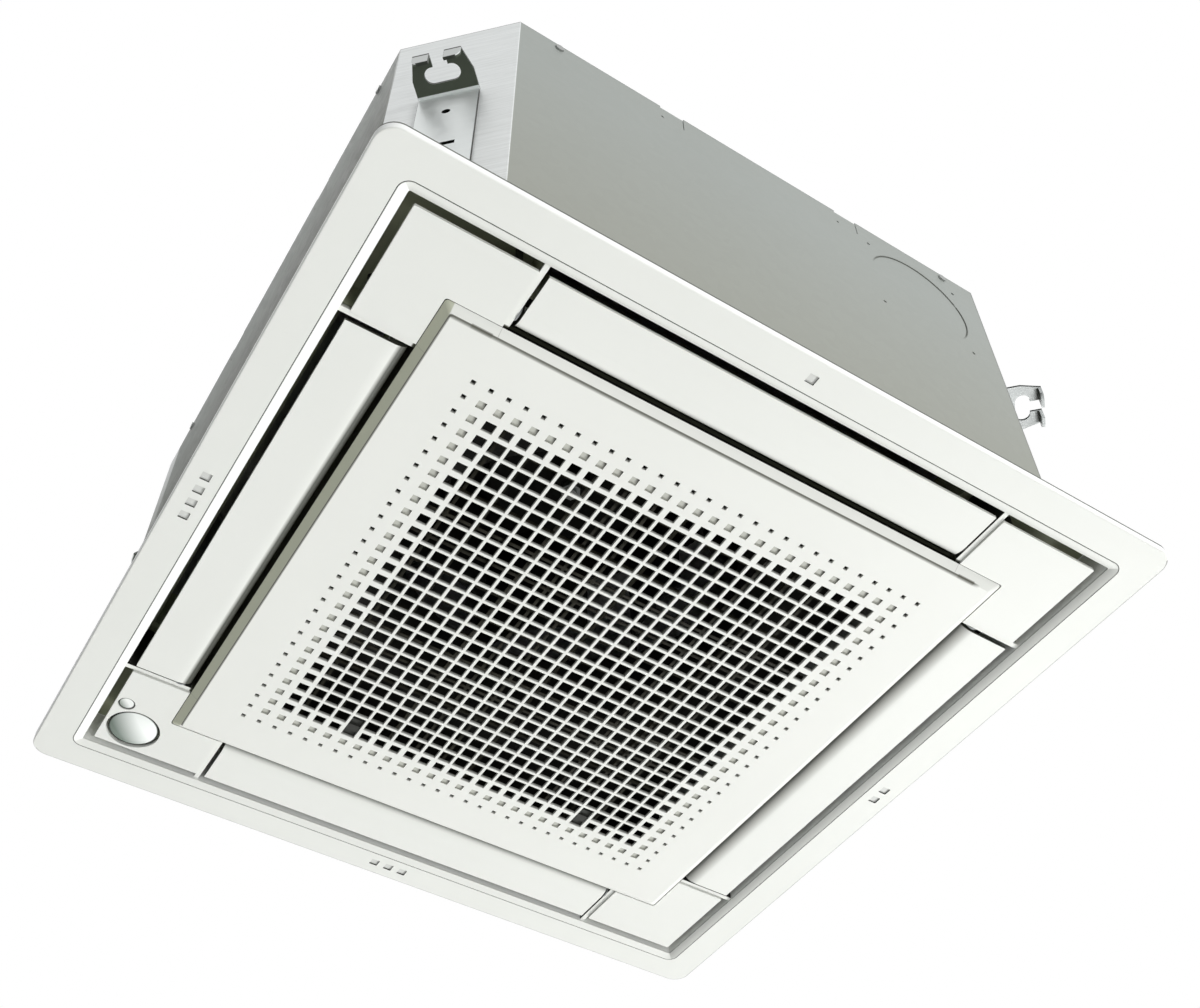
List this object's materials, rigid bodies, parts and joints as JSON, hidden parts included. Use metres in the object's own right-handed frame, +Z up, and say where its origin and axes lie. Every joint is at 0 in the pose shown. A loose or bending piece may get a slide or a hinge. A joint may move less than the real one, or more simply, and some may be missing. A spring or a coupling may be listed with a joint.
{
  "type": "ceiling cassette air conditioner",
  "caption": "Square ceiling cassette air conditioner: flush panel with perforated hinged grille and swinging air flaps under a galvanised body with hanger brackets.",
  "frame": {"origin": "centre of the ceiling plane, where the panel's flange meets the ceiling's lower face", "axes": "+Z up into the ceiling void; -Y the front, with the grille's hinge; +X right; the sensor and piping corner is at -X, +Y"},
  "size_m": [0.62, 0.6295, 0.3124],
  "materials": {
    "galvanised_steel": "galvanised sheet with a faint spangle, brushed on the corner faces",
    "zinc_screws": "zinc-plated steel",
    "foam_liner": "white expanded foam",
    "black_foam": "soft black foam",
    "aluminium_fins": "thin plain fins",
    "copper": "bare copper",
    "brass_unions": "machined brass",
    "black_rubber": "matt black rubber",
    "grey_plastic": "mid grey plastic",
    "clear_hose": "grey flexible hose",
    "motor_can": "dark painted steel can",
    "fan_plastic": "dark grey plastic",
    "board_green": "green circuit board",
    "panel_white": "fine satin off-white plastic",
    "latch_plastic": "pale grey plastic",
    "motor_plastic": "white plastic",
    "sensor_lens": "translucent silvery green plastic",
    "filter_plastic": "dark plastic frame and net"
  },
  "bodies": {
    "cabinet": {"cabinet_shell": "galvanised_steel", "cabinet_lid": "galvanised_steel", "lid_screws": "zinc_screws", "hanger_bracket_front_left": "galvanised_steel", "hanger_bracket_front_right": "galvanised_steel", "hanger_bracket_rear_right": "galvanised_steel", "hanger_bracket_rear_left": "galvanised_steel", "side_insulation": "foam_liner", "top_insulation": "foam_liner", "drain_pan": "foam_liner", "drain_plug": "black_rubber", "heat_exchanger": "aluminium_fins", "coil_end_plates": "galvanised_steel", "coil_bends": "copper", "gas_pipe": "copper", "liquid_pipe": "copper", "flare_unions": "brass_unions", "pipe_plate": "galvanised_steel", "drain_pump": "grey_plastic", "drain_hose": "clear_hose", "drain_socket": "grey_plastic", "cable_grommet": "black_rubber", "fan_motor": "motor_can", "motor_bushes": "black_rubber", "bell_mouth": "fan_plastic", "control_box": "galvanised_steel", "control_box_lid": "galvanised_steel", "circuit_board": "board_green", "terminal_block": "grey_plastic", "panel_seal": "black_foam", "panel_frame": "panel_white", "panel_screws": "zinc_screws", "corner_cover_front_left": "panel_white", "corner_cover_front_right": "panel_white", "corner_cover_rear_right": "panel_white", "corner_cover_rear_left": "panel_white", "flap_motor_front": "motor_plastic", "flap_motor_right": "motor_plastic", "flap_motor_rear": "motor_plastic", "flap_motor_left": "motor_plastic", "flap_bushes": "grey_plastic", "sensor_lens": "sensor_lens", "sensor_housing": "grey_plastic", "floor_sensor": "grey_plastic"},
    "grille": {"suction_grille": "panel_white", "hinge_pins": "zinc_screws", "filter_frame": "filter_plastic", "filter_net": "filter_plastic"},
    "latch_left": {"latch_left": "latch_plastic"},
    "latch_right": {"latch_right": "latch_plastic"},
    "flap_front": {"flap_front": "panel_white"},
    "flap_right": {"flap_right": "panel_white"},
    "flap_rear": {"flap_rear": "panel_white"},
    "flap_left": {"flap_left": "panel_white"},
    "fan": {"turbo_fan": "fan_plastic", "motor_shaft": "zinc_screws", "fan_nut": "zinc_screws"},
    "float": {"float_ring": "grey_plastic"},
    "impeller": {"pump_impeller": "grey_plastic"}
  },
  "joints": [
    {"name": "fan_spin", "type": "hinge", "parent": "cabinet", "child": "fan", "pos_m": [0, 0, 0.26], "axis": [0, 0, 1], "continuous": true},
    {"name": "flap_front_swing", "type": "hinge", "parent": "cabinet", "child": "flap_front", "pos_m": [0, -0.2358, 0.0018], "axis": [1, 0, 0], "range_deg": [0, 60]},
    {"name": "flap_right_swing", "type": "hinge", "parent": "cabinet", "child": "flap_right", "pos_m": [0.2358, 0, 0.0018], "axis": [0, 1, 0], "range_deg": [0, 60]},
    {"name": "flap_rear_swing", "type": "hinge", "parent": "cabinet", "child": "flap_rear", "pos_m": [0, 0.2358, 0.0018], "axis": [-1, 0, 0], "range_deg": [0, 60]},
    {"name": "flap_left_swing", "type": "hinge", "parent": "cabinet", "child": "flap_left", "pos_m": [-0.2358, 0, 0.0018], "axis": [0, -1, 0], "range_deg": [0, 60]},
    {"name": "grille_swing", "type": "hinge", "parent": "cabinet", "child": "grille", "pos_m": [0, -0.217, -0.0045], "axis": [-1, 0, 0], "range_deg": [0, 90]},
    {"name": "latch_left_slide", "type": "slide", "parent": "grille", "child": "latch_left", "axis": [0, -1, 0], "range_m": [0, 0.008], "stiffness_N_per_m": 60, "springref_m": -0.004},
    {"name": "latch_right_slide", "type": "slide", "parent": "grille", "child": "latch_right", "axis": [0, -1, 0], "range_m": [0, 0.008], "stiffness_N_per_m": 60, "springref_m": -0.004},
    {"name": "float_rise", "type": "slide", "parent": "cabinet", "child": "float", "axis": [0, 0, 1], "range_m": [0, 0.02]},
    {"name": "impeller_spin", "type": "hinge", "parent": "cabinet", "child": "impeller", "pos_m": [-0.222, 0.222, 0.104], "axis": [0, 0, 1], "continuous": true}
  ]
}
